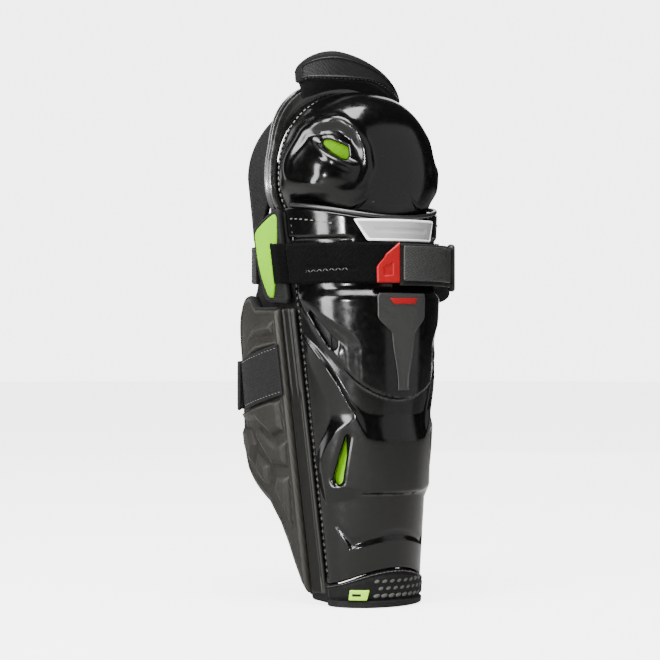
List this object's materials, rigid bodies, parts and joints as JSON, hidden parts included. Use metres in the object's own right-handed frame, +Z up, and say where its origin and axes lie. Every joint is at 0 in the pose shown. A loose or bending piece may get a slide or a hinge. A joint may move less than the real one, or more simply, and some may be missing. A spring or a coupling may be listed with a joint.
{
  "type": "hockey shin guard",
  "caption": "Right-leg ice hockey shin guard with hard knee cap, moulded shin shell, padded calf wraps and hook-and-loop straps.",
  "frame": {"origin": "on the leg's axis, in the plane of the foot rim", "axes": "+Z runs up the shin to the knee, -Y is the front of the leg, -X is the outer (lateral) side of a right leg"},
  "size_m": [0.1466, 0.1605, 0.373],
  "materials": {
    "hard_shell": "glossy black moulded polymer",
    "trim_plastic": "satin black moulded polymer",
    "nameplate": "silver foil on polymer",
    "lime_textile": "lime green knitted textile on foam",
    "black_foam": "black textile laminated on foam",
    "grey_foam": "olive grey thermoformed foam",
    "webbing": "black woven elastic",
    "hook_loop": "black hook and loop tape",
    "black_rubber": "black ribbed rubber",
    "red_rubber": "red moulded rubber"
  },
  "bodies": {
    "shin": {"shin_shell": "hard_shell", "shin_liner": "black_foam", "tibia_pads": "lime_textile", "liner_hook_tapes": "hook_loop", "hem": "black_foam", "hem_binding": "webbing", "lateral_edge_band": "trim_plastic", "medial_edge_band": "trim_plastic", "top_edge_piping": "webbing", "brow_plate": "nameplate", "crest_plate": "trim_plastic", "crest_bar": "red_rubber", "size_tab": "lime_textile", "loop_band": "hook_loop", "loop_band_end": "hook_loop", "lateral_gusset": "black_foam", "lateral_gusset_panel": "lime_textile", "medial_gusset": "black_foam", "medial_gusset_panel": "lime_textile", "back_strap": "webbing"},
    "upper_strap_end": {"strap_tab": "webbing", "strap_patch": "black_rubber", "pull_tab": "red_rubber"},
    "knee": {"knee_shell": "hard_shell", "knee_rim": "trim_plastic", "knee_liner": "lime_textile", "knee_donut_pad": "black_foam"},
    "thigh": {"thigh_flap": "black_foam", "thigh_flap_panel": "trim_plastic"},
    "wing_lateral": {"lateral_wing": "grey_foam"},
    "wing_medial": {"medial_wing": "grey_foam"},
    "calf_lateral": {"lateral_calf_wrap": "grey_foam", "lower_strap": "webbing"},
    "lower_strap_end": {"lower_strap_tail": "webbing", "lower_strap_hook": "hook_loop"},
    "calf_medial": {"medial_calf_wrap": "grey_foam", "medial_loop_patch": "hook_loop"}
  },
  "joints": [
    {"name": "knee_flex", "type": "hinge", "parent": "shin", "child": "knee", "pos_m": [0, 0.012, 0.287], "axis": [-1, 0, 0], "range_deg": [-6, 30], "stiffness_Nm_per_rad": 2},
    {"name": "upper_strap_peel", "type": "hinge", "parent": "shin", "child": "upper_strap_end", "pos_m": [0.0705, -0.009, 0.228], "axis": [0, 0, 1], "range_deg": [0, 100], "stiffness_Nm_per_rad": 0.05},
    {"name": "thigh_flap_fold", "type": "hinge", "parent": "knee", "child": "thigh", "pos_m": [0.003, 0.008, 0.352], "axis": [-1, 0, 0], "range_deg": [-30, 25], "stiffness_Nm_per_rad": 0.2},
    {"name": "lateral_wing_flex", "type": "hinge", "parent": "knee", "child": "wing_lateral", "pos_m": [-0.04, 0.0211, 0.287], "axis": [-0.2497, 0, -0.9683], "range_deg": [0, 18], "stiffness_Nm_per_rad": 0.2},
    {"name": "medial_wing_flex", "type": "hinge", "parent": "knee", "child": "wing_medial", "pos_m": [0.04, 0.0211, 0.287], "axis": [-0.2497, 0, 0.9683], "range_deg": [0, 18], "stiffness_Nm_per_rad": 0.2},
    {"name": "lateral_calf_open", "type": "hinge", "parent": "shin", "child": "calf_lateral", "pos_m": [-0.05028, 0.00267, 0.1015], "axis": [-0.0827, 0.0749, 0.9938], "range_deg": [0, 55], "stiffness_Nm_per_rad": 0.5},
    {"name": "lower_strap_peel", "type": "hinge", "parent": "calf_lateral", "child": "lower_strap_end", "pos_m": [-0.05545, 0.05916, 0.145], "axis": [0, 0, 1], "range_deg": [0, 100], "stiffness_Nm_per_rad": 0.05},
    {"name": "medial_calf_open", "type": "hinge", "parent": "shin", "child": "calf_medial", "pos_m": [0.05028, 0.00267, 0.1015], "axis": [-0.0827, -0.0749, -0.9938], "range_deg": [0, 55], "stiffness_Nm_per_rad": 0.5}
  ]
}
